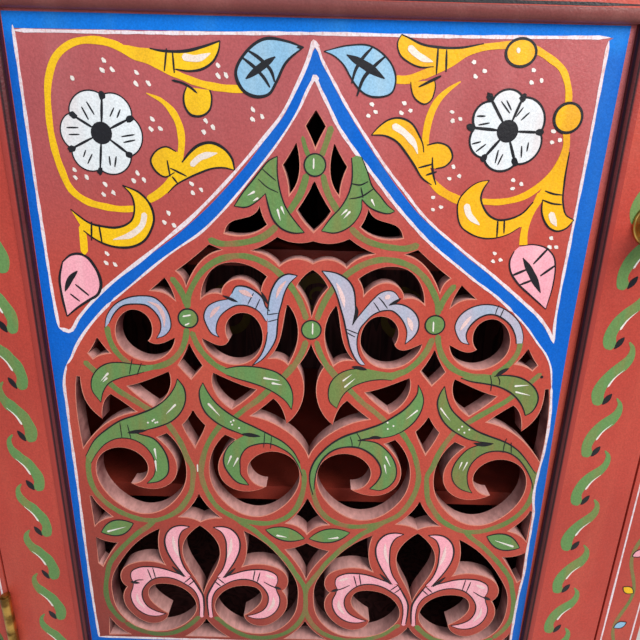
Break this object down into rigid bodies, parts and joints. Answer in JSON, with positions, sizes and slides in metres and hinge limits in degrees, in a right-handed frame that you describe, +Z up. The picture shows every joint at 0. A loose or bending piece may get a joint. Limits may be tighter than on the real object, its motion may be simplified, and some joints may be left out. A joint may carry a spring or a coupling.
{
  "type": "moroccan carved cabinet",
  "caption": "Free-standing painted wooden cabinet with a pierced scrollwork door on hinges, a turning knob catch, shelves inside, a moulded top and an arched plinth.",
  "frame": {"origin": "on the floor, in the middle of the outer box", "axes": "+Z up, the door faces -Y, +X to the right as seen from the front"},
  "size_m": [0.718, 0.378, 0.878],
  "materials": {
    "painted_red": "hand-painted brick red with scrollwork, satin",
    "painted_braid": "hand-painted red with a green braid, satin",
    "painted_maroon": "hand-painted maroon, satin",
    "inside_maroon": "thin dark maroon paint with faint olive scrolls",
    "plain_wood": "bare sawn softwood",
    "brass": "aged brass",
    "steel": "dull steel"
  },
  "bodies": {
    "cabinet": {"back_nails": "steel", "back_plank_1": "inside_maroon", "back_plank_2": "inside_maroon", "back_plank_3": "inside_maroon", "back_plank_4": "inside_maroon", "bottom_board": "inside_maroon", "catch_keeper": "plain_wood", "corner_blocks": "plain_wood", "cornice_front": "painted_red", "cornice_left": "painted_red", "cornice_right": "painted_red", "door_stop_lower": "plain_wood", "door_stop_upper": "plain_wood", "face_rail_bottom": "painted_red", "face_rail_top": "painted_red", "face_stile_left": "painted_braid", "face_stile_right": "painted_braid", "hinge_leaf_frame_lower": "brass", "hinge_leaf_frame_upper": "brass", "hinge_pin_lower": "brass", "hinge_pin_upper": "brass", "hinge_screws_frame": "steel", "plinth_back": "plain_wood", "plinth_front": "painted_red", "plinth_side_left": "painted_red", "plinth_side_right": "painted_red", "shelf_cleat_lower_left": "inside_maroon", "shelf_cleat_lower_right": "inside_maroon", "shelf_cleat_upper_left": "inside_maroon", "shelf_cleat_upper_right": "inside_maroon", "shelf_lower": "inside_maroon", "shelf_upper": "inside_maroon", "side_board_left": "painted_red", "side_board_right": "painted_red", "top_board": "inside_maroon", "top_slab": "painted_red"},
    "door": {"door_panel": "painted_red", "door_pegs": "painted_red", "door_rail_bottom": "painted_red", "door_rail_top": "painted_red", "door_stile_left": "painted_braid", "door_stile_right": "painted_braid", "hinge_leaf_door_lower": "brass", "hinge_leaf_door_upper": "brass", "hinge_screws_door": "steel", "knob_rosette": "brass", "panel_moulding_bottom": "painted_maroon", "panel_moulding_left": "painted_maroon", "panel_moulding_right": "painted_maroon", "panel_moulding_top": "painted_maroon"},
    "catch": {"knob": "brass", "knob_spindle": "steel", "catch_tongue": "steel", "catch_nut": "steel"}
  },
  "joints": [
    {"name": "door_hinge", "type": "hinge", "parent": "cabinet", "child": "door", "pos_m": [-0.29, -0.1658, 0.465], "axis": [0, 0, -1], "range_deg": [0, 170]},
    {"name": "catch_turn", "type": "hinge", "parent": "door", "child": "catch", "pos_m": [0.258, -0.161, 0.619], "axis": [0, 1, 0], "range_deg": [0, 90]}
  ]
}
